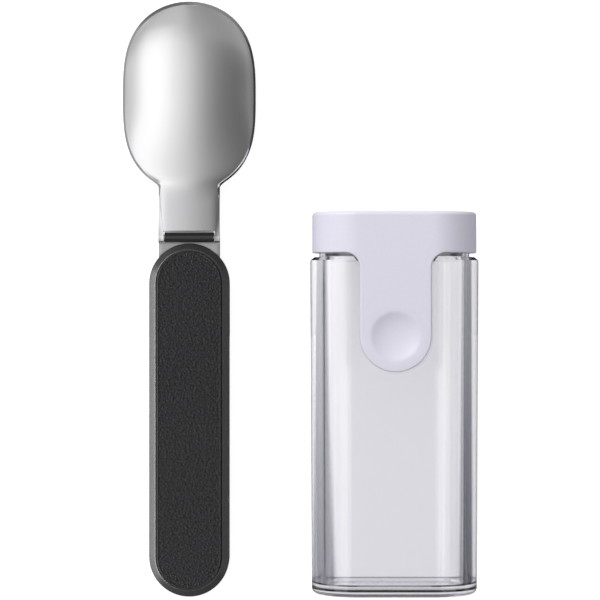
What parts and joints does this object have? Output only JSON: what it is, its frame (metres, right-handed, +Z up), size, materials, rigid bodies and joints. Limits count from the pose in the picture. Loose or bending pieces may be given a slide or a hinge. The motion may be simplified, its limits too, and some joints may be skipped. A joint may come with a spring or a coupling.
{
  "type": "folding spoon with carry case",
  "caption": "Steel spoon whose head folds over a slim black handle, beside its clear carry case with a white pull-off lid.",
  "frame": {"origin": "on the surface that the set lies on, under the middle of its box", "axes": "+X from the spoon to the case, +Y along the spoon towards the bowl's tip, +Z up out of the surface"},
  "size_m": [0.0892, 0.15, 0.023],
  "materials": {
    "head_steel": "satin polished stainless steel",
    "pin_steel": "turned stainless steel",
    "spring_steel": "rolled spring steel, bright",
    "handle_plastic": "satin black moulded plastic",
    "grip_plastic": "fine leather-like moulded texture",
    "clear_plastic": "clear glossy moulded plastic",
    "lid_plastic": "satin white moulded plastic"
  },
  "bodies": {
    "handle": {"handle_rear_shell": "handle_plastic", "handle_front_cover": "handle_plastic", "grip_inlay": "grip_plastic", "back_spring": "spring_steel"},
    "head": {"spoon_head": "head_steel", "hinge_pin": "pin_steel"},
    "case": {"case_body": "clear_plastic"},
    "lid": {"case_lid": "lid_plastic"}
  },
  "joints": [
    {"name": "fold", "type": "hinge", "parent": "handle", "child": "head", "pos_m": [-0.0279, 0.01555, 0.0083], "axis": [1, 0, 0], "range_deg": [0, 180]},
    {"name": "case_aside", "type": "slide", "parent": "handle", "child": "case", "axis": [1, 0, 0], "range_m": [0, 0.05]},
    {"name": "lid_pull", "type": "slide", "parent": "case", "child": "lid", "axis": [0, 1, 0], "range_m": [0, 0.045]}
  ]
}
